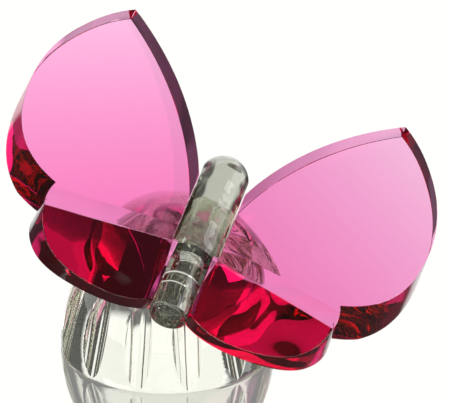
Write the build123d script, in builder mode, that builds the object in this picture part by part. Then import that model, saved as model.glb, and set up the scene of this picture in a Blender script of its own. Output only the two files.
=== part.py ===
from build123d import *
from math import atan2, cos, degrees, hypot, radians, sin, sqrt
import os

os.makedirs("parts", exist_ok=True)

# Crystal butterfly ornament, in millimetres, with +Z up.
# The origin is the middle of the round underside of the clear dome, the face that it stands on.
# The butterfly is bonded to a flat ground on the shoulder of the dome, so it leans and is turned.
# All pieces are solid crystal, and thin films of clear adhesive join them.

# Clear dome: a solid half spheroid with olive cuts round it
dome_radius = 30.0
dome_rise = 38.8
foot_chamfer = 0.35
olive_count = 13
olive_cutter_radius = 6.0
olive_depth = 1.6
olive_middle_height = 13.2
olive_first_bearing = -105.5

# Seat on the dome, and how the butterfly lies on it
seat_depth = 5.92
seat_lean = 31.4
seat_bearing = -59.1
body_turn = 44.9
body_side_shift = 1.1
body_back_shift = 6.3

# Films of clear adhesive
bond_thickness = 0.15
bond_inset = 0.4
seat_bond_length = 18.0
thorax_bond_rise = 2.6
abdomen_bond_back = 14.6

# Clear body: a bar with a round back and a domed head, and a thinner rod behind it on a narrow waist
thorax_radius = 7.1
thorax_proud = 0.5
thorax_grind = 0.5
thorax_back = 2.6
thorax_front = 27.5
abdomen_radius = 5.4
abdomen_grind = 0.4
abdomen_front = 11.0
abdomen_back = 22.7
abdomen_edge_radius = 0.8
waist_radius = 4.0

# Pink wings: each one slab with a fore lobe, a notch and a hind lobe
half_span = 59.4
fore_reach = 63.95
hind_reach = 23.8
wing_dihedral = 5.45
wing_hinge = 7.0
tip_thickness = 7.5
belly_root_thickness = 17.4
belly_outer_thickness = 15.4
belly_ahead = 12.5
belly_clearance = 0.9
hind_rise = 11.0
wing_flare = 0.25
facet_slope = 22.0

# Wing outline, as shares of the half span sideways and of the fore or hind reach lengthways
outline_middle_shares = (0.49, 0.30)
root_shares = (0.067, 0.190)
leading_edge_shares = (0.316, 0.671)
tip_shares = (0.696, 1.0)
outer_edge_shares = [(0.797, 0.907), (0.879, 0.796), (0.951, 0.657), (0.998, 0.446), (0.993, 0.305)]
inner_edge_shares = [(0.951, 0.144), (0.875, 0.036), (0.791, -0.062)]
notch_shares = (0.698, -0.159)
hind_outer_shares = [(0.712, -0.365), (0.684, -0.650), (0.620, -0.850)]
hind_inner_shares = [(0.510, -0.970), (0.386, -1.0), (0.210, -0.955)]
tail_shares = (0.067, -0.770)
ridge_outer_shares = (0.704, -0.510)
ridge_inner_shares = (0.120, -0.156)

# Directions of the leaning seat, worked out from its three angles
lean = radians(seat_lean)
bearing = radians(seat_bearing)
turn = radians(body_turn)
normal = Vector(sin(lean) * cos(bearing), sin(lean) * sin(bearing), cos(lean))
level = Vector(-sin(bearing), cos(bearing), 0)
sideways = level * cos(turn) + level.cross(normal) * sin(turn)
headways = normal.cross(sideways)

# The seat lies just under the plane that touches the dome where its surface faces the same way
flat_part = dome_radius * sin(lean)
tall_part = dome_rise * cos(lean)
touch_distance = hypot(flat_part, tall_part)
touch_out = dome_radius * flat_part / touch_distance
touch_up = dome_rise * tall_part / touch_distance
touch_point = Vector(touch_out * cos(bearing), touch_out * sin(bearing), touch_up)
seat_middle = touch_point - normal * seat_depth
seat_point = seat_middle + sideways * body_side_shift - headways * body_back_shift

# The body is tall enough to hold the bellies of the wings clear of the seat
thorax_height = belly_root_thickness + belly_clearance

# The upper faces of the wings meet the body in this plane, and butterfly sizes start from its origin
top_point = seat_point + normal * (bond_thickness + thorax_height)
rod_drop = thorax_radius - thorax_proud
thorax_flat_width = 2 * (thorax_radius - thorax_grind)
abdomen_flat_width = 2 * (abdomen_radius - abdomen_grind)


def place(side, ahead, up):
    """Point of the butterfly: to its right, towards its head and above its wing plane."""
    return top_point + sideways * side + headways * ahead + normal * up


def flat_plane(ahead, up):
    """Plane that lies as the butterfly does, with its X to the right wing and its Y to the head."""
    return Plane(origin=place(0, ahead, up), x_dir=sideways, z_dir=normal)


def side_plane(side):
    """Upright plane along the body that faces the right wing."""
    return Plane(origin=place(side, 0, 0), x_dir=headways, z_dir=sideways)


def cross_plane(ahead):
    """Plane across the body that faces the head, on the axis of the rods."""
    return Plane(origin=place(0, ahead, -rod_drop), x_dir=sideways, z_dir=headways)


def wing_point(shares, flare=0.0):
    """Place in a wing's plane of a point given as shares, moved outwards by the flare."""
    reach = fore_reach if shares[1] > 0 else hind_reach
    point = Vector(half_span * shares[0], reach * shares[1])
    middle = Vector(half_span * outline_middle_shares[0], fore_reach * outline_middle_shares[1])
    return point + (point - middle).normalized() * flare


def flat_half_width(radius, flat_distance):
    """Half the width of a flat that lies at a distance from the axis of a rod."""
    return sqrt(radius**2 - flat_distance**2)


# Base dome, with its olive cuts and the flat seat for the butterfly
with BuildPart() as base_dome:
    with BuildSketch(Plane.XZ) as dome_profile:
        Ellipse(dome_radius, dome_rise)
        with Locations((dome_radius / 2, dome_rise / 2)):
            Rectangle(dome_radius, dome_rise, mode=Mode.INTERSECT)
        foot_corner = [(dome_radius - foot_chamfer, 0), (dome_radius, 0), (dome_radius, foot_chamfer)]
        with BuildLine():
            Polyline(*foot_corner, close=True)
        make_face(mode=Mode.SUBTRACT)
    revolve(axis=Axis.Z)
    # An olive cut is a straight round groove, laid along the slope of the wall
    olive_radius = dome_radius * sqrt(1 - (olive_middle_height / dome_rise) ** 2)
    olive_slope = atan2(olive_middle_height * dome_radius**2, olive_radius * dome_rise**2)
    cutter_stand_off = olive_cutter_radius - olive_depth
    olive_out = olive_radius + cutter_stand_off * cos(olive_slope)
    olive_up = olive_middle_height + cutter_stand_off * sin(olive_slope)
    with PolarLocations(0, olive_count, start_angle=olive_first_bearing):
        with Locations(Location((olive_out, 0, olive_up), (0, -degrees(olive_slope), 0))):
            Cylinder(olive_cutter_radius, 2 * dome_rise, mode=Mode.SUBTRACT)
    split(bisect_by=Plane(origin=seat_middle, z_dir=normal), keep=Keep.BOTTOM)
base_dome.part.label = "base_dome"

# Thorax with its round back and domed head, ground flat at its sides for the wings and at its seat
with BuildPart() as thorax:
    with BuildSketch(cross_plane(-thorax_back)):
        Circle(thorax_radius)
    extrude(amount=thorax_back + thorax_front)
    with Locations(Location(cross_plane(thorax_front))):
        Sphere(thorax_radius)
    # Below the axis of its round back the bar has upright sides
    with BuildSketch(flat_plane(thorax_front, -thorax_height)):
        Circle(thorax_radius)
        with Locations((0, -(thorax_back + thorax_front) / 2)):
            Rectangle(2 * thorax_radius, thorax_back + thorax_front)
    extrude(amount=thorax_height - rod_drop)
    split(bisect_by=side_plane(thorax_flat_width / 2), keep=Keep.BOTTOM)
    split(bisect_by=side_plane(-thorax_flat_width / 2), keep=Keep.TOP)
thorax.part.label = "thorax"

# Abdomen: the thinner rod behind, with the narrow waist that is bonded to the thorax
with BuildPart() as abdomen:
    with BuildSketch(cross_plane(-abdomen_back)):
        Circle(abdomen_radius)
    extrude(amount=abdomen_back - abdomen_front)
    back_rim = abdomen.edges().sort_by(Axis(place(0, 0, 0), headways))[0]
    fillet(back_rim, abdomen_edge_radius)
    split(bisect_by=side_plane(abdomen_flat_width / 2), keep=Keep.BOTTOM)
    split(bisect_by=side_plane(-abdomen_flat_width / 2), keep=Keep.TOP)
    with BuildSketch(cross_plane(-abdomen_front)):
        Circle(waist_radius)
    extrude(amount=abdomen_front - thorax_back - bond_thickness)
abdomen.part.label = "abdomen"

# Plane of the right wing, raised outwards about its hinge line beside the body
raised = radians(wing_dihedral)
wing_side = sideways * cos(raised) + normal * sin(raised)
wing_normal = normal * cos(raised) - sideways * sin(raised)
wing_origin = place(wing_hinge, 0, 0) - wing_side * wing_hinge
wing_plane = Plane(origin=wing_origin, x_dir=wing_side, z_dir=wing_normal)

# The hind facet slopes down from a straight ridge across the wing
ridge_start = wing_plane.from_local_coords(wing_point(ridge_inner_shares))
ridge_end = wing_plane.from_local_coords(wing_point(ridge_outer_shares))
ridge_run = (ridge_end - ridge_start).normalized()
tailways = ridge_run.cross(wing_normal)
facet_tilt = radians(facet_slope)
facet_normal = wing_normal * cos(facet_tilt) + tailways * sin(facet_tilt)
facet_plane = Plane(origin=ridge_start, x_dir=ridge_run, z_dir=facet_normal)

# The slab is thickest along its belly, a line that runs ahead of the ridge
belly_start = ridge_start - tailways * belly_ahead - wing_normal * belly_root_thickness
belly_end = ridge_end - tailways * belly_ahead - wing_normal * belly_outer_thickness
belly_run = (belly_end - belly_start).normalized()

# From the belly the underside rises forwards to the thin tip
under_tip = wing_plane.from_local_coords(wing_point(tip_shares)) - wing_normal * tip_thickness
under_normal = belly_run.cross(under_tip - belly_start).normalized()
under_depth = (wing_origin - belly_start).dot(under_normal) / wing_normal.dot(under_normal)
under_side = wing_side - under_normal * wing_side.dot(under_normal)
under_plane = Plane(origin=wing_origin - wing_normal * under_depth, x_dir=under_side, z_dir=under_normal)

# It rises backwards as well, which closes the light in below the hind facet and makes that dark
rise_tilt = radians(hind_rise)
rise_run = tailways * cos(rise_tilt) + wing_normal * sin(rise_tilt)
hind_plane = Plane(origin=belly_start, x_dir=belly_run, z_dir=rise_run.cross(belly_run))

# Right wing
with BuildPart() as right_wing:
    for outline_plane, flare in ((wing_plane, 0.0), (under_plane, wing_flare)):
        with BuildSketch(outline_plane):
            with BuildLine():
                root = wing_point(root_shares, flare)
                tip = wing_point(tip_shares, flare)
                notch = wing_point(notch_shares, flare)
                tail = wing_point(tail_shares, flare)
                ThreePointArc(root, wing_point(leading_edge_shares, flare), tip)
                fore_points = [wing_point(shares, flare) for shares in outer_edge_shares + inner_edge_shares]
                hind_points = [wing_point(shares, flare) for shares in hind_outer_shares + hind_inner_shares]
                Spline(tip, *fore_points, notch)
                Spline(notch, *hind_points, tail)
                Line(tail, root)
            make_face()
    loft(ruled=True)
    # Channel for the body: wider along the thorax than along the abdomen
    thorax_channel = thorax_flat_width + 2 * bond_thickness
    abdomen_channel = abdomen_flat_width + 2 * bond_thickness
    with BuildSketch(flat_plane(fore_reach / 2 - thorax_back - bond_thickness, -2 * belly_root_thickness)):
        Rectangle(thorax_channel, fore_reach)
    extrude(amount=4 * belly_root_thickness, mode=Mode.SUBTRACT)
    with BuildSketch(flat_plane(0, -2 * belly_root_thickness)):
        Rectangle(abdomen_channel, 3 * hind_reach)
    extrude(amount=4 * belly_root_thickness, mode=Mode.SUBTRACT)
    split(bisect_by=facet_plane, keep=Keep.BOTTOM)
    split(bisect_by=hind_plane, keep=Keep.TOP)
right_wing.part.label = "right_wing"

# Left wing, the mirror image across the middle of the body
with BuildPart() as left_wing:
    add(right_wing.part.mirror(side_plane(0)))
left_wing.part.label = "left_wing"

# Adhesive under the thorax
with BuildPart() as seat_bond:
    with BuildSketch(flat_plane(body_back_shift, -thorax_height - bond_thickness)):
        Rectangle(thorax_flat_width - 2 * bond_inset, seat_bond_length)
    extrude(amount=bond_thickness)
seat_bond.part.label = "seat_bond"

# Adhesive between the end of the thorax and the waist
with BuildPart() as waist_bond:
    with BuildSketch(cross_plane(-thorax_back - bond_thickness)):
        Circle(waist_radius - bond_inset)
    extrude(amount=bond_thickness)
waist_bond.part.label = "waist_bond"


def side_film(flat_distance, top, bottom, back, front):
    """Film of adhesive on a side flat of the body, from one place along it to another."""
    film_plane = Plane(origin=place(flat_distance, 0, 0), x_dir=headways, z_dir=sideways)
    with BuildPart() as film:
        with BuildSketch(film_plane):
            with Locations(((back + front) / 2, (top + bottom) / 2)):
                Rectangle(front - back, top - bottom)
        extrude(amount=bond_thickness)
    return film.part


thorax_film_top = flat_half_width(thorax_radius, thorax_flat_width / 2) - rod_drop - bond_inset
root_gap = thorax_flat_width / 2 - wing_flare - root_shares[0] * half_span
thorax_film_front = fore_reach * root_shares[1] + root_gap
abdomen_film_half = flat_half_width(abdomen_radius, abdomen_flat_width / 2) - bond_inset
thorax_film_bottom = thorax_bond_rise - belly_root_thickness
film_spans = {
    "thorax_bond": (
        thorax_flat_width / 2,
        thorax_film_top,
        thorax_film_bottom,
        bond_inset - thorax_back,
        thorax_film_front,
    ),
    "abdomen_bond": (
        abdomen_flat_width / 2,
        abdomen_film_half - rod_drop,
        -abdomen_film_half - rod_drop,
        -abdomen_bond_back,
        -abdomen_front - bond_inset,
    ),
}
films = {}
for film_name, span in film_spans.items():
    films["right_" + film_name] = side_film(*span)
    films["left_" + film_name] = films["right_" + film_name].mirror(side_plane(0))

for film_name, film in films.items():
    film.label = film_name
    export_step(film, f"parts/{film_name}.step")

for piece in (base_dome, thorax, abdomen, right_wing, left_wing, seat_bond, waist_bond):
    export_step(piece.part, f"parts/{piece.part.label}.step")
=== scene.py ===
from math import cos, radians, sin, tan

import bmesh
import bpy
from bpy.props import FloatProperty, FloatVectorProperty, PointerProperty
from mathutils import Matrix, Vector


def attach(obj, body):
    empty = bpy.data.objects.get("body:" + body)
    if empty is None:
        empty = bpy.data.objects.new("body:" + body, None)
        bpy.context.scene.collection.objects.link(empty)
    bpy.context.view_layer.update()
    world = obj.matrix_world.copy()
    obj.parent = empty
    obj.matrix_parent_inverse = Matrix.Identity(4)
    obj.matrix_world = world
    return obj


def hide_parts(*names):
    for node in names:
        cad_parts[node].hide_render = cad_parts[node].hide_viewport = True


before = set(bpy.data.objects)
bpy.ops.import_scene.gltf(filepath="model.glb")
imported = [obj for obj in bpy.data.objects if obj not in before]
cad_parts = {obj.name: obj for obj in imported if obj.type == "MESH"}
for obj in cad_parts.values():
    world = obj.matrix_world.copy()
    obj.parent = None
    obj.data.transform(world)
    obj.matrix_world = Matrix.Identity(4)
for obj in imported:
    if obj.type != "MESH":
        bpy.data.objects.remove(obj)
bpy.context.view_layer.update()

bl_info = {
    "name": "Crystal Butterfly Ornament",
    "version": (1, 0, 0),
    "blender": (4, 5, 0),
    "location": "3D View > Sidebar > Butterfly",
    "description": "Dresses a pink and clear crystal butterfly on its cut dome, on a pale studio floor",
    "category": "Object",
}

MM = 0.001

# Nodes of each finish
WING_NODES = ("left_wing", "right_wing")
BODY_NODES = ("thorax", "abdomen")
BOND_NODES = (
    "seat_bond", "waist_bond",
    "left_thorax_bond", "right_thorax_bond",
    "left_abdomen_bond", "right_abdomen_bond",
)

# Points of the CAD mesh closer than this are merged, and triangles that bend less than this are one flat face
MERGE_DISTANCE = 0.002 * MM
FLAT_ANGLE = radians(0.6)
ARRIS_SEGMENTS = 2

# Face layer that says how wavy the polish is. Faces larger than these areas were lapped flat, and the others
# were cut by hand.
CUT_LAYER = "cut"
LAPPED_WAVE = 0.0
CUT_WAVE = 1.0
BODY_LAPPED_AREA = 20 * MM**2
WING_LAPPED_AREA = 1500 * MM**2

# Colours of the glass and of the film in depth, and what a clear surface lets through
DOME_GLASS = "#F3F4E8"
BODY_GLASS = "#D6D8CC"
PINK_GLASS = "#F532C8"
BOND_FILM = "#F8F8F0"
BOND_DENSITY = 1.0
CLEAR = (1.0, 1.0, 1.0, 1.0)

# Width of the faint polishing marks on broad pieces, on narrow pieces and on the films
WIDE_POLISH = 9 * MM
FINE_POLISH = 5 * MM
FILM_POLISH = 3 * MM

# Levels of finer marks and their strength, the part of the marks that shows, and the roughness it reaches
POLISH_DETAIL = 3.0
POLISH_GRAIN = 0.6
POLISH_FROM = 0.45
POLISH_TO = 0.8
POLISH_ROUGHNESS = 0.012

# Levels of finer waves, and the films' own waves, which have no height between ground faces
RIPPLE_DETAIL = 1.0
FILM_RIPPLE = 5 * MM
FILM_WAVE = 0.0

# White of the floor's sheet, its light from below, and the grey tint of its mirror where the camera sees it,
# which is painted shade
SHEET_WHITE = "#F8F8F4"
SHEET_LIGHT = "#FFFFFF"
CAMERA_MIRROR_SHADE = "#D8D9D3"

# How flatly the sheet is met, from 0, straight down, to 1: its white is hidden up to the first of these, and
# shows in full from the second
HIDDEN_UP_TO = 0.35
SHOWN_FROM = 0.55

# How far the floor reaches from its middle. It lies a hair below the dome, so that the dome's ground
# underside keeps its own reflection.
FLOOR_REACH = 3.0
FLOOR_GAP = 0.02 * MM

# Colour sockets of a Mix node, which share their names with its other sockets
MIX_A, MIX_B, MIX_RESULT = 6, 7, 2

# A ray that has met fewer mirrors than this comes straight from the bare sheet
FIRST_MIRROR = 1.5

# Width of both softboxes, and where they stand
SOFTBOX_WIDTH = 0.8
KEY_PLACE = (-0.9, -0.65, 0.95)
SIDE_PLACE = (0.977, -0.187, 0.723)

# Sensor width, in mm, that the lens is measured against
SENSOR_WIDTH = 36.0

# Turns that light may take inside the crystal, where it runs a long way before it finds a way out
LIGHT_BOUNCES = 48


def linear(hex_colour):
    """Linear red, green and blue of an sRGB hex colour."""
    channels = [int(hex_colour[i:i + 2], 16) / 255 for i in (1, 3, 5)]
    return [c / 12.92 if c <= 0.04045 else ((c + 0.055) / 1.055) ** 2.4 for c in channels]


def add_node(tree, kind, settings=None, links=None):
    """Adds a node, sets its properties and plain sockets, and links other nodes' outputs to its inputs."""
    node = tree.nodes.new(kind)
    for name, value in (settings or {}).items():
        if isinstance(name, str) and hasattr(node, name):
            setattr(node, name, value)
        else:
            node.inputs[name].default_value = value
    for name, output in (links or {}).items():
        tree.links.new(output, node.inputs[name])
    return node


def new_material(name):
    """Empty node material and its tree."""
    material = bpy.data.materials.new(name)
    material.use_nodes = True
    material.node_tree.nodes.clear()
    return material, material.node_tree


def crystal(name, ior, colour, density, polish, ripple, wave_height):
    """Solid polished crystal, coloured by the glass in depth, with faint polishing marks and waves."""
    material, tree = new_material(name)
    place = add_node(tree, "ShaderNodeTexCoord")
    marks = add_node(
        tree, "ShaderNodeTexNoise",
        {"Scale": 1 / polish, "Detail": POLISH_DETAIL, "Roughness": POLISH_GRAIN},
        {"Vector": place.outputs["Object"]},
    )
    roughness = add_node(
        tree, "ShaderNodeMapRange",
        {"From Min": POLISH_FROM, "From Max": POLISH_TO, "To Min": 0.0, "To Max": POLISH_ROUGHNESS},
        {"Value": marks.outputs["Fac"]},
    )
    waves = add_node(
        tree, "ShaderNodeTexNoise",
        {"Scale": 1 / ripple, "Detail": RIPPLE_DETAIL},
        {"Vector": place.outputs["Object"]},
    )
    cut = add_node(tree, "ShaderNodeAttribute", {"attribute_name": CUT_LAYER})
    height = add_node(
        tree, "ShaderNodeMath", {"operation": "MULTIPLY"},
        {0: waves.outputs["Fac"], 1: cut.outputs["Fac"]},
    )
    bump = add_node(
        tree, "ShaderNodeBump",
        {"Strength": 1.0, "Distance": wave_height},
        {"Height": height.outputs["Value"]},
    )
    shader = add_node(
        tree, "ShaderNodeBsdfPrincipled",
        {"Base Color": CLEAR, "Transmission Weight": 1.0, "IOR": ior},
        {"Roughness": roughness.outputs["Result"], "Normal": bump.outputs["Normal"]},
    )
    glass = add_node(tree, "ShaderNodeVolumeAbsorption", {"Color": (*colour, 1.0), "Density": density})
    add_node(
        tree, "ShaderNodeOutputMaterial", {},
        {"Surface": shader.outputs["BSDF"], "Volume": glass.outputs["Volume"]},
    )
    return material


def polished_copy(node_name, material, arris=0.0, lapped_area=0.0):
    """Replaces a CAD node by a merged copy with eased edges, whose curved faces shade smooth."""
    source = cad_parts[node_name]
    mesh = source.data.copy()
    mesh.name = node_name + "_crystal"
    shape = bmesh.new()
    shape.from_mesh(mesh)
    bmesh.ops.remove_doubles(shape, verts=shape.verts, dist=MERGE_DISTANCE)
    bmesh.ops.dissolve_degenerate(shape, edges=shape.edges, dist=MERGE_DISTANCE)
    if lapped_area:
        bmesh.ops.dissolve_limit(
            shape, angle_limit=FLAT_ANGLE, use_dissolve_boundaries=False,
            verts=shape.verts, edges=shape.edges,
        )
    crease = bpy.context.scene.butterfly_crystal.crease
    eased = set()
    # Blender narrows the whole arris to what the shortest edges leave room for
    if arris:
        edges = [edge for edge in shape.edges if edge.calc_face_angle(0.0) > crease]
        result = bmesh.ops.bevel(
            shape, geom=edges, offset=arris, offset_type="OFFSET", affect="EDGES",
            segments=ARRIS_SEGMENTS, profile=0.5, material=-1, clamp_overlap=True,
        )
        eased = set(result["faces"])
    cut = shape.faces.layers.float.new(CUT_LAYER)
    for face in shape.faces:
        face.smooth = True
        face.material_index = 0
        face[cut] = LAPPED_WAVE if lapped_area and face.calc_area() > lapped_area else CUT_WAVE
    for edge in shape.edges:
        kinds = {face in eased for face in edge.link_faces}
        edge.smooth = len(kinds) == 1 and edge.calc_face_angle(0.0) < crease
    shape.to_mesh(mesh)
    shape.free()
    mesh.materials.clear()
    mesh.materials.append(material)
    piece = bpy.data.objects.new(node_name + "_crystal", mesh)
    bpy.context.scene.collection.objects.link(piece)
    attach(piece, "root")
    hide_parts(node_name)


def floor_material(settings):
    """White acrylic lit from below, with no grain or shade of its own, that mirrors what stands on it."""
    material, tree = new_material("Glossy white acrylic sheet, lit from below")
    path = add_node(tree, "ShaderNodeLightPath")

    # The sheet glows where it is seen, mirrored or met through crystal, and otherwise scatters the softboxes
    seen = path.outputs["Is Camera Ray"]
    for ray in ("Is Glossy Ray", "Is Transmission Ray"):
        either = add_node(
            tree, "ShaderNodeMath", {"operation": "MAXIMUM"}, {0: seen, 1: path.outputs[ray]},
        )
        seen = either.outputs["Value"]
    share = add_node(tree, "ShaderNodeMath", {"operation": "MULTIPLY", 1: settings.floor_glow}, {0: seen})

    # Black cards stand beside the picture, so the crystal sees the sheet only between them
    place = add_node(tree, "ShaderNodeTexCoord")
    across = add_node(tree, "ShaderNodeSeparateXYZ", {}, {"Vector": place.outputs["Object"]})
    cards = []
    for dark_edge, white_edge in (
        (settings.left_card - settings.card_blur, settings.left_card),
        (settings.right_card + settings.card_blur, settings.right_card),
    ):
        card = add_node(
            tree, "ShaderNodeMapRange",
            {
                "interpolation_type": "SMOOTHSTEP",
                "From Min": dark_edge,
                "From Max": white_edge,
                "To Min": settings.dark_level,
            },
            {"Value": across.outputs["X"]},
        )
        cards.append(card.outputs["Result"])
    between = add_node(tree, "ShaderNodeMath", {"operation": "MULTIPLY"}, {0: cards[0], 1: cards[1]})
    shown = add_node(
        tree, "ShaderNodeMath", {"operation": "MAXIMUM"},
        {0: between.outputs["Value"], 1: path.outputs["Is Camera Ray"]},
    )

    # Outer faces of the crystal that mirror the sheet steeply from above see little of its white
    slant = add_node(tree, "ShaderNodeLayerWeight", {"Blend": 0.5})
    steep = add_node(
        tree, "ShaderNodeMapRange",
        {"From Min": HIDDEN_UP_TO, "From Max": SHOWN_FROM, "To Min": 1 - settings.dark_level, "To Max": 0.0},
        {"Value": slant.outputs["Facing"]},
    )
    outer = add_node(
        tree, "ShaderNodeMath", {"operation": "SUBTRACT", "use_clamp": True},
        {0: path.outputs["Is Glossy Ray"], 1: path.outputs["Transmission Depth"]},
    )
    hidden = add_node(
        tree, "ShaderNodeMath", {"operation": "MULTIPLY"},
        {0: outer.outputs["Value"], 1: steep.outputs["Result"]},
    )
    white = add_node(
        tree, "ShaderNodeMath", {"operation": "SUBTRACT", "use_clamp": True},
        {0: shown.outputs["Value"], 1: hidden.outputs["Value"]},
    )
    level = add_node(
        tree, "ShaderNodeMath", {"operation": "MULTIPLY", 1: settings.sheet_level},
        {0: white.outputs["Value"]},
    )
    glow = add_node(
        tree, "ShaderNodeEmission", {"Color": (*linear(SHEET_LIGHT), 1.0)},
        {"Strength": level.outputs["Value"]},
    )
    unlit = add_node(tree, "ShaderNodeBsdfDiffuse", {"Color": (*linear(SHEET_WHITE), 1.0)})
    sheet = add_node(
        tree, "ShaderNodeMixShader", {},
        {0: share.outputs["Value"], 1: unlit.outputs["BSDF"], 2: glow.outputs["Emission"]},
    )

    # The polished sheet mirrors more the flatter it is looked at
    mirrored = add_node(
        tree, "ShaderNodeMapRange",
        {"From Max": 1 - sin(settings.camera_elevation), "To Max": settings.floor_gloss},
        {"Value": slant.outputs["Facing"]},
    )
    # Painted shade: the mirror is greyed only where the camera sees it, so what the camera sees mirrored is
    # dimmer than what the crystal gathers from the sheet
    camera_mirror_shade = add_node(
        tree, "ShaderNodeMix",
        {"data_type": "RGBA", MIX_A: CLEAR, MIX_B: (*linear(CAMERA_MIRROR_SHADE), 1.0)},
        {0: path.outputs["Is Camera Ray"]},
    )
    gloss = add_node(
        tree, "ShaderNodeBsdfGlossy", {"Roughness": settings.floor_blur},
        {"Color": camera_mirror_shade.outputs[MIX_RESULT]},
    )
    shader = add_node(
        tree, "ShaderNodeMixShader", {},
        {0: mirrored.outputs["Result"], 1: sheet.outputs["Shader"], 2: gloss.outputs["BSDF"]},
    )
    add_node(tree, "ShaderNodeOutputMaterial", {}, {"Surface": shader.outputs["Shader"]})
    return material


def add_floor(settings):
    """Pale floor that mirrors the object."""
    mesh = bpy.data.meshes.new("floor")
    shape = bmesh.new()
    bmesh.ops.create_grid(shape, x_segments=1, y_segments=1, size=FLOOR_REACH)
    bmesh.ops.translate(shape, verts=shape.verts, vec=(0.0, 0.0, -FLOOR_GAP))
    shape.to_mesh(mesh)
    shape.free()
    mesh.materials.append(floor_material(settings))
    floor = bpy.data.objects.new("floor", mesh)
    bpy.context.scene.collection.objects.link(floor)


def add_studio(settings):
    """Dark studio with a white backdrop behind the object and one in front of it, behind the camera."""
    world = bpy.data.worlds.new("Studio")
    bpy.context.scene.world = world
    world.use_nodes = True
    tree = world.node_tree
    tree.nodes.clear()
    direction = add_node(tree, "ShaderNodeTexCoord")
    split = add_node(tree, "ShaderNodeSeparateXYZ", {}, {"Vector": direction.outputs["Generated"]})

    # Each backdrop is an upright sheet, so its edges are slopes against the way to it
    depth = add_node(tree, "ShaderNodeMath", {"operation": "ABSOLUTE"}, {0: split.outputs["Y"]})
    width = add_node(tree, "ShaderNodeMath", {"operation": "ABSOLUTE"}, {0: split.outputs["X"]})
    shares = []
    for length, edge in (
        (width.outputs["Value"], settings.backdrop_angle),
        (split.outputs["Z"], settings.backdrop_top),
    ):
        slope = add_node(
            tree, "ShaderNodeMath", {"operation": "DIVIDE"}, {0: length, 1: depth.outputs["Value"]},
        )
        share = add_node(
            tree, "ShaderNodeMapRange",
            {
                "interpolation_type": "SMOOTHSTEP",
                "From Min": tan(edge + settings.backdrop_fade),
                "From Max": tan(edge - settings.backdrop_fade),
                "To Max": settings.backdrop_level,
            },
            {"Value": slope.outputs["Value"]},
        )
        shares.append(share.outputs["Result"])
    backdrop = add_node(tree, "ShaderNodeMath", {"operation": "MULTIPLY"}, {0: shares[0], 1: shares[1]})

    # Below the horizon the studio is white all round, and the camera sees white everywhere
    horizon = add_node(
        tree, "ShaderNodeMapRange",
        {
            "From Min": sin(settings.white_up_to),
            "From Max": sin(settings.dark_from),
            "To Min": 1.0,
            "To Max": settings.dark_level,
        },
        {"Value": split.outputs["Z"]},
    )
    room = add_node(
        tree, "ShaderNodeMath", {"operation": "MAXIMUM"},
        {0: backdrop.outputs["Value"], 1: horizon.outputs["Result"]},
    )
    path = add_node(tree, "ShaderNodeLightPath")
    seen = add_node(
        tree, "ShaderNodeMath", {"operation": "MAXIMUM"},
        {0: room.outputs["Value"], 1: path.outputs["Is Camera Ray"]},
    )

    # The bare sheet mirrors white from every side, and crystal the backdrops alone
    low = add_node(
        tree, "ShaderNodeMapRange",
        {
            "From Min": sin(settings.mirror_top),
            "From Max": sin(settings.mirror_top + settings.backdrop_fade),
            "To Min": settings.mirrored_level,
            "To Max": 0.0,
        },
        {"Value": split.outputs["Z"]},
    )
    outer = add_node(
        tree, "ShaderNodeMath", {"operation": "SUBTRACT", "use_clamp": True},
        {0: path.outputs["Is Glossy Ray"], 1: path.outputs["Transmission Depth"]},
    )
    once = add_node(
        tree, "ShaderNodeMath", {"operation": "LESS_THAN", 1: FIRST_MIRROR},
        {0: path.outputs["Glossy Depth"]},
    )
    low_once = add_node(
        tree, "ShaderNodeMath", {"operation": "MULTIPLY"},
        {0: once.outputs["Value"], 1: low.outputs["Result"]},
    )
    bare = add_node(
        tree, "ShaderNodeMath", {"operation": "MULTIPLY"},
        {0: outer.outputs["Value"], 1: low_once.outputs["Value"]},
    )
    light = add_node(
        tree, "ShaderNodeMath", {"operation": "MAXIMUM"},
        {0: seen.outputs["Value"], 1: bare.outputs["Value"]},
    )
    sky = add_node(tree, "ShaderNodeBackground", {}, {"Color": light.outputs["Value"]})
    add_node(tree, "ShaderNodeOutputWorld", {}, {"Surface": sky.outputs["Background"]})


def add_softbox(name, place, power, aim):
    """Square softbox that faces the object."""
    lamp = bpy.data.lights.new(name, "AREA")
    lamp.shape = "SQUARE"
    lamp.size = SOFTBOX_WIDTH
    lamp.energy = power
    holder = bpy.data.objects.new(name, lamp)
    holder.location = place
    holder.rotation_mode = "QUATERNION"
    holder.rotation_quaternion = (Vector(aim) - Vector(place)).to_track_quat("-Z", "Y")
    bpy.context.scene.collection.objects.link(holder)


def add_camera(settings):
    """Camera that looks down on the tail side."""
    elevation = settings.camera_elevation
    back = Vector((0, -cos(elevation), sin(elevation)))
    data = bpy.data.cameras.new("camera")
    data.sensor_width = SENSOR_WIDTH
    data.lens = SENSOR_WIDTH * settings.camera_distance / settings.picture_span
    camera = bpy.data.objects.new("camera", data)
    camera.location = Vector(settings.aim) + back * settings.camera_distance
    camera.rotation_mode = "QUATERNION"
    camera.rotation_quaternion = (-back).to_track_quat("-Z", "Y")
    bpy.context.scene.collection.objects.link(camera)
    bpy.context.scene.camera = camera


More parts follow.
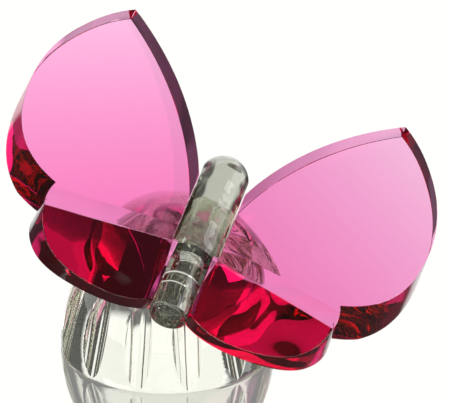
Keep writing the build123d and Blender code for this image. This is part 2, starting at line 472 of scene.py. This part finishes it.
class CrystalSettings(bpy.types.PropertyGroup):
    ior: FloatProperty(
        name="Refractive index", description="Lead crystal", default=1.62, min=1.3, max=2.0,
    )
    crease: FloatProperty(
        name="Crease", description="Bend of two faces above which their edge stays crisp",
        default=radians(16.0), subtype="ANGLE",
    )

    dome_glass: FloatVectorProperty(
        name="Dome glass", description="Colour of the dome glass in depth", default=linear(DOME_GLASS),
        subtype="COLOR", min=0.0, max=1.0,
    )
    dome_density: FloatProperty(
        name="Dome depth", description="Tint of the dome glass for each metre of it", default=19.0, min=0.0,
    )
    dome_ripple: FloatProperty(
        name="Dome ripple", description="Width of the polishing waves", default=11 * MM, unit="LENGTH",
    )
    dome_wave: FloatProperty(
        name="Dome wave", description="Height of the polishing waves", default=0.05 * MM, unit="LENGTH",
    )
    dome_arris: FloatProperty(
        name="Dome arris", description="Most width of the eased edges", default=0.25 * MM, unit="LENGTH",
    )

    body_glass: FloatVectorProperty(
        name="Body glass", description="Colour of the body glass in depth", default=linear(BODY_GLASS),
        subtype="COLOR", min=0.0, max=1.0,
    )
    body_density: FloatProperty(
        name="Body depth", description="Grey of the body glass for each metre of it", default=105.0, min=0.0,
    )
    body_ripple: FloatProperty(
        name="Body ripple", description="Width of the polishing waves", default=9 * MM, unit="LENGTH",
    )
    body_wave: FloatProperty(
        name="Body wave", description="Height of the polishing waves", default=1.6 * MM, unit="LENGTH",
    )
    body_arris: FloatProperty(
        name="Body arris", description="Most width of the eased edges", default=0.25 * MM, unit="LENGTH",
    )

    pink_glass: FloatVectorProperty(
        name="Wing glass", description="Colour of the wing glass in depth", default=linear(PINK_GLASS),
        subtype="COLOR", min=0.0, max=1.0,
    )
    pink_density: FloatProperty(
        name="Wing depth", description="Pink of the wing glass for each metre of it", default=85.0, min=0.0,
    )
    wing_ripple: FloatProperty(
        name="Wing ripple", description="Width of the polishing waves", default=30 * MM, unit="LENGTH",
    )
    wing_wave: FloatProperty(
        name="Wing wave", description="Height of the polishing waves", default=2.2 * MM, unit="LENGTH",
    )
    wing_arris: FloatProperty(
        name="Wing arris", description="Most width of the eased edges", default=0.3 * MM, unit="LENGTH",
    )


class StageSettings(bpy.types.PropertyGroup):
    camera_elevation: FloatProperty(
        name="Camera elevation", description="Above the floor", default=radians(26.0), subtype="ANGLE",
    )
    camera_distance: FloatProperty(
        name="Camera distance", description="From the object", default=0.9, unit="LENGTH",
    )
    picture_span: FloatProperty(
        name="Picture width", description="Width of the view at the object", default=0.126, unit="LENGTH",
    )
    aim: FloatVectorProperty(
        name="Aim", description="Point at the middle of the picture", default=(0.01596, 0.01725, 0.03536),
        size=3, unit="LENGTH",
    )

    white_up_to: FloatProperty(
        name="White up to", description="Angle above the horizon up to which the studio is white all round",
        default=radians(-2.0), subtype="ANGLE",
    )
    dark_from: FloatProperty(
        name="Dark from", description="Angle above the horizon from which the studio is dark",
        default=radians(0.0), subtype="ANGLE",
    )
    dark_level: FloatProperty(name="Dark level", description="Brightness of the dark studio", default=0.07)
    backdrop_angle: FloatProperty(
        name="Backdrop", description="Half angle of each white backdrop", default=radians(28.0),
        subtype="ANGLE",
    )
    backdrop_top: FloatProperty(
        name="Backdrop top", description="Angle above the horizon up to which the backdrops reach",
        default=radians(48.0), subtype="ANGLE",
    )
    backdrop_fade: FloatProperty(
        name="Backdrop fade", description="Half the angle over which a backdrop's edge fades out",
        default=radians(4.0), subtype="ANGLE",
    )
    backdrop_level: FloatProperty(
        name="Backdrop level", description="Brightness of each backdrop's middle", default=1.05,
    )
    mirror_top: FloatProperty(
        name="Mirrored white", description="Angle up to which the bare floor mirrors white all round",
        default=radians(34.0), subtype="ANGLE",
    )
    mirrored_level: FloatProperty(
        name="Mirrored level", description="Brightness that the bare floor mirrors", default=1.5,
    )

    left_card: FloatProperty(
        name="Left card", description="Where the left black card stands", default=-0.07, unit="LENGTH",
    )
    right_card: FloatProperty(
        name="Right card", description="Where the right black card stands", default=0.115, unit="LENGTH",
    )
    card_blur: FloatProperty(
        name="Card blur", description="Width of the cards' soft edge", default=0.02, unit="LENGTH",
    )
    floor_glow: FloatProperty(
        name="Floor glow", description="Share of the floor's white that comes from below it", default=0.85,
        subtype="FACTOR", min=0.0, max=1.0,
    )
    sheet_level: FloatProperty(name="Sheet level", description="Brightness of the lit floor", default=1.18)
    floor_gloss: FloatProperty(
        name="Floor gloss", description="Share of light that the floor mirrors at the camera's angle",
        default=0.9, subtype="FACTOR", min=0.0, max=1.0,
    )
    floor_blur: FloatProperty(
        name="Floor blur", description="Roughness of the floor's mirror", default=0.06,
        subtype="FACTOR", min=0.0, max=1.0,
    )

    key_power: FloatProperty(
        name="Key light", description="Power of the main softbox", default=5.0, unit="POWER",
    )
    side_power: FloatProperty(
        name="Side light", description="Power of the softbox at the right", default=5.0, unit="POWER",
    )


class OBJECT_OT_dome(bpy.types.Operator):
    """Clear cut crystal dome"""
    bl_idname = "butterfly.dome"
    bl_label = "Dome"

    def execute(self, context):
        settings = context.scene.butterfly_crystal
        # Lead glass cut and polished: the eye looks right through it to the studio behind, each cut edge
        # draws a fine dark line, and a trace of yellow-green comes from its depth
        glass = crystal(
            "Cut clear lead crystal", settings.ior, settings.dome_glass, settings.dome_density,
            WIDE_POLISH, settings.dome_ripple, settings.dome_wave,
        )
        polished_copy("base_dome", glass, settings.dome_arris)
        return {"FINISHED"}


class OBJECT_OT_body(bpy.types.Operator):
    """Clear polished crystal bars of the body"""
    bl_idname = "butterfly.body"
    bl_label = "Body"

    def execute(self, context):
        settings = context.scene.butterfly_crystal
        # Crystal bar polished all round: it folds its surroundings into light and grey patches, greyer where
        # the path through it is longer
        glass = crystal(
            "Polished clear crystal bar", settings.ior, settings.body_glass, settings.body_density,
            FINE_POLISH, settings.body_ripple, settings.body_wave,
        )
        for name in BODY_NODES:
            polished_copy(name, glass, settings.body_arris, BODY_LAPPED_AREA)
        return {"FINISHED"}


class OBJECT_OT_wings(bpy.types.Operator):
    """Pink crystal wing slabs"""
    bl_idname = "butterfly.wings"
    bl_label = "Wings"

    def execute(self, context):
        settings = context.scene.butterfly_crystal
        # Glass coloured pink all through, cast as a slab, then cut and polished: pale pink straight through
        # the flats, and ruby to maroon in the facets and edges, where light runs a long way inside
        glass = crystal(
            "Pink cast and cut crystal", settings.ior, settings.pink_glass, settings.pink_density,
            WIDE_POLISH, settings.wing_ripple, settings.wing_wave,
        )
        for name in WING_NODES:
            polished_copy(name, glass, settings.wing_arris, WING_LAPPED_AREA)
        return {"FINISHED"}


class OBJECT_OT_bonds(bpy.types.Operator):
    """Clear adhesive films"""
    bl_idname = "butterfly.bonds"
    bl_label = "Adhesive"

    def execute(self, context):
        settings = context.scene.butterfly_crystal
        # Adhesive cured clear under light and matched to the glass: all but unseen between the ground faces
        film = crystal(
            "Light cured clear adhesive", settings.ior, linear(BOND_FILM), BOND_DENSITY,
            FILM_POLISH, FILM_RIPPLE, FILM_WAVE,
        )
        for name in BOND_NODES:
            polished_copy(name, film)
        return {"FINISHED"}


class OBJECT_OT_stage(bpy.types.Operator):
    """Floor, studio, softboxes and camera"""
    bl_idname = "butterfly.stage"
    bl_label = "Stage"

    def execute(self, context):
        scene = context.scene
        settings = scene.butterfly_stage
        add_floor(settings)
        add_studio(settings)
        add_softbox("key_softbox", KEY_PLACE, settings.key_power, settings.aim)
        add_softbox("side_softbox", SIDE_PLACE, settings.side_power, settings.aim)
        add_camera(settings)
        scene.cycles.max_bounces = LIGHT_BOUNCES
        scene.cycles.glossy_bounces = LIGHT_BOUNCES
        scene.cycles.transmission_bounces = LIGHT_BOUNCES
        scene.view_settings.view_transform = "Standard"
        return {"FINISHED"}


class VIEW3D_PT_butterfly(bpy.types.Panel):
    """Sidebar panel that lists the settings and the steps"""
    bl_label = "Crystal Butterfly"
    bl_space_type = "VIEW_3D"
    bl_region_type = "UI"
    bl_category = "Butterfly"

    def draw(self, context):
        for group in (context.scene.butterfly_crystal, context.scene.butterfly_stage):
            for name in group.__annotations__:
                self.layout.prop(group, name)
        for operator in OPERATORS:
            self.layout.operator(operator.bl_idname)


OPERATORS = (OBJECT_OT_dome, OBJECT_OT_body, OBJECT_OT_wings, OBJECT_OT_bonds, OBJECT_OT_stage)
CLASSES = (CrystalSettings, StageSettings, *OPERATORS, VIEW3D_PT_butterfly)


def register():
    for cls in CLASSES:
        bpy.utils.register_class(cls)
    bpy.types.Scene.butterfly_crystal = PointerProperty(type=CrystalSettings)
    bpy.types.Scene.butterfly_stage = PointerProperty(type=StageSettings)


def unregister():
    del bpy.types.Scene.butterfly_stage
    del bpy.types.Scene.butterfly_crystal
    for cls in reversed(CLASSES):
        bpy.utils.unregister_class(cls)


def main():
    register()
    bpy.ops.butterfly.dome()
    bpy.ops.butterfly.body()
    bpy.ops.butterfly.wings()
    bpy.ops.butterfly.bonds()
    bpy.ops.butterfly.stage()


if __name__ == "__main__":
    main()
